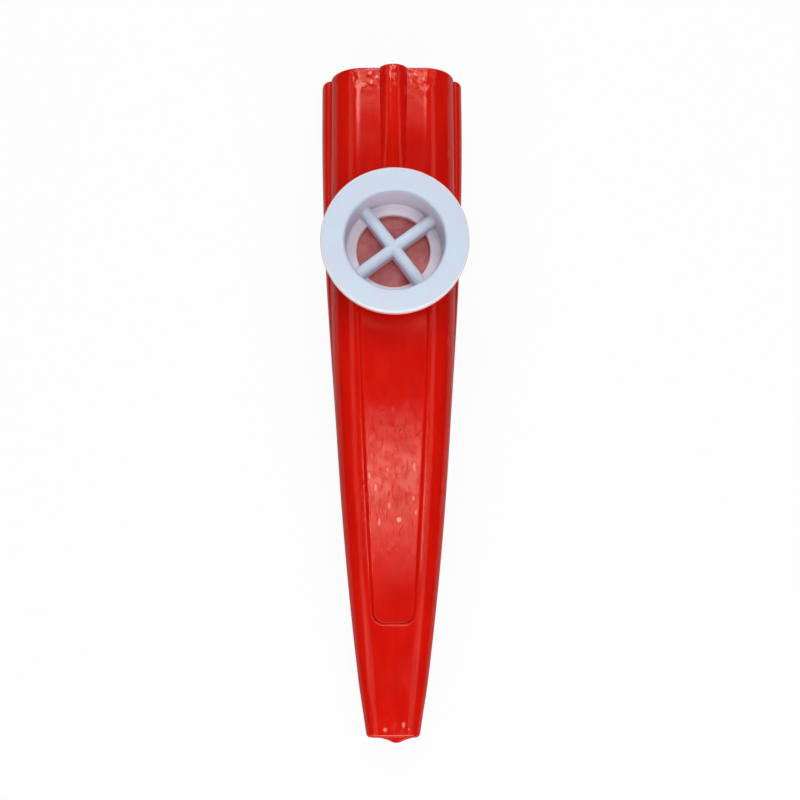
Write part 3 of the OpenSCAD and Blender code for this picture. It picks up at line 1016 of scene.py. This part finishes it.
def make_bar(angle):
    """One bar of the grille, rounded on top, that swells into the well's wall at both ends."""
    low, high = BARREL_END + BAR_LIFT, FLOOR_TOP + BAR_RISE
    reach = WELL_R + 0.5 * MM
    rings = []
    for k in range(BAR_STEPS + 1):
        along = mix(-reach, reach, k / BAR_STEPS)
        near_wall = ease((abs(along) - WELL_R + BAR_ROOT_L) / BAR_ROOT_L) ** 2
        half_w = BAR_W / 2 + BAR_EXTRA + BAR_ROOT_EXTRA * near_wall
        top = high + BAR_ROOT_RISE * near_wall
        crown = 0.75 * half_w
        section = [(-half_w, low), (half_w, low)] + arc(0, top - crown, half_w, crown, 0, 180, 20, 0)
        rings.append([
            (along * math.cos(angle) - across * math.sin(angle),
             CAP_Y + along * math.sin(angle) + across * math.cos(angle), z)
            for across, z in section
        ])
    return tube("bar", rings)


def make_cap():
    """The cap with its grille, whose bars are melted together where they cross."""
    grille = combined(make_bar(BAR_ANGLE), make_bar(BAR_ANGLE + math.pi / 2), "UNION")
    applied(grille, "REMESH", mode="VOXEL", voxel_size=0.09 * MM)
    applied(grille, "SMOOTH", factor=0.5, iterations=6)
    return smooth(combined(make_cap_blank(), grille, "UNION"))


# The membrane and its ring


def make_film():
    """Thin disc with shallow radial puckers that fade towards its middle."""
    z_mid = (film_lo.z + film_hi.z) / 2
    half_t = 0.02 * MM
    pucker_height, sag_height = 0.05, 0.02
    spread, turns = 40, 120

    def height(r, turn):
        share = r / RING_R
        pucker = noise.noise(Vector((math.cos(turn) * 3, math.sin(turn) * 3, share))) * share
        sag = -sag_height * (1 - share * share)
        return (pucker_height * pucker * math.sin(math.pi * share) + sag) * MM

    points = [(0, CAP_Y, z_mid + side * half_t + height(0, 0)) for side in (1, -1)]
    for side in (1, -1):
        for k in range(1, spread + 1):
            r = RING_R * k / spread
            for i in range(turns):
                turn = 2 * math.pi * i / turns
                points.append((*circle(r, turn), z_mid + side * half_t + height(r, turn)))
    faces = []
    sheet_size = spread * turns
    for side in (0, 1):
        start = 2 + side * sheet_size
        for i in range(turns):
            here, there = start + i, start + (i + 1) % turns
            faces.append((side, here, there))
            for k in range(0, sheet_size - turns, turns):
                faces.append((here + k, here + k + turns, there + k + turns, there + k))
    rim = 2 + sheet_size - turns
    faces += band(turns, rim, rim + sheet_size)
    return smooth(cleaned(mesh_object("film", points, faces)))


def make_ring():
    """Card ring with softly crushed edges and a slightly uneven face."""
    soft = CARD_ROUND
    low, high = ring_lo.z + soft, ring_hi.z - soft

    def profile(turn):
        wave = 0.02 * MM * noise.noise(Vector((math.cos(turn) * 4, math.sin(turn) * 4, 5.5)))
        hole = RING_HOLE_R + wave + soft
        rim = RING_R - 0.01 * MM + min(wave, 0) - soft
        return (
            arc(hole, low, soft, soft, 180, 270, CARD_STEPS, 0)
            + arc(rim, low, soft, soft, -90, 0, CARD_STEPS, 0)
            + arc(rim, high, soft, soft, 0, 90, CARD_STEPS, 0)
            + arc(hole, high, soft, soft, 90, 180, CARD_STEPS, 0)
        )

    return smooth(lathe("card_ring", profile))


def dress(obj, material, body, node):
    """Gives a piece its material and body, and lets it stand for its CAD node."""
    obj.data.materials.clear()
    obj.data.materials.append(material)
    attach(obj, body)
    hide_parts(node)


make_camera()
make_world()
for lamp_row in LAMPS:
    make_lamp(*lamp_row)
make_floor()

red = red_plastic()
dress(make_top(), red, "kazoo_body", "top_shell")
dress(smooth(make_shell("lower_shell", False)), red, "kazoo_body", "bottom_shell")
dress(make_cap(), pale_plastic(), "cap_body", "screw_cap")
dress(make_ring(), card(), "ring_body", "membrane_ring")
dress(make_film(), film(), "film_body", "membrane")

bpy.context.scene.view_settings.view_transform = "Standard"
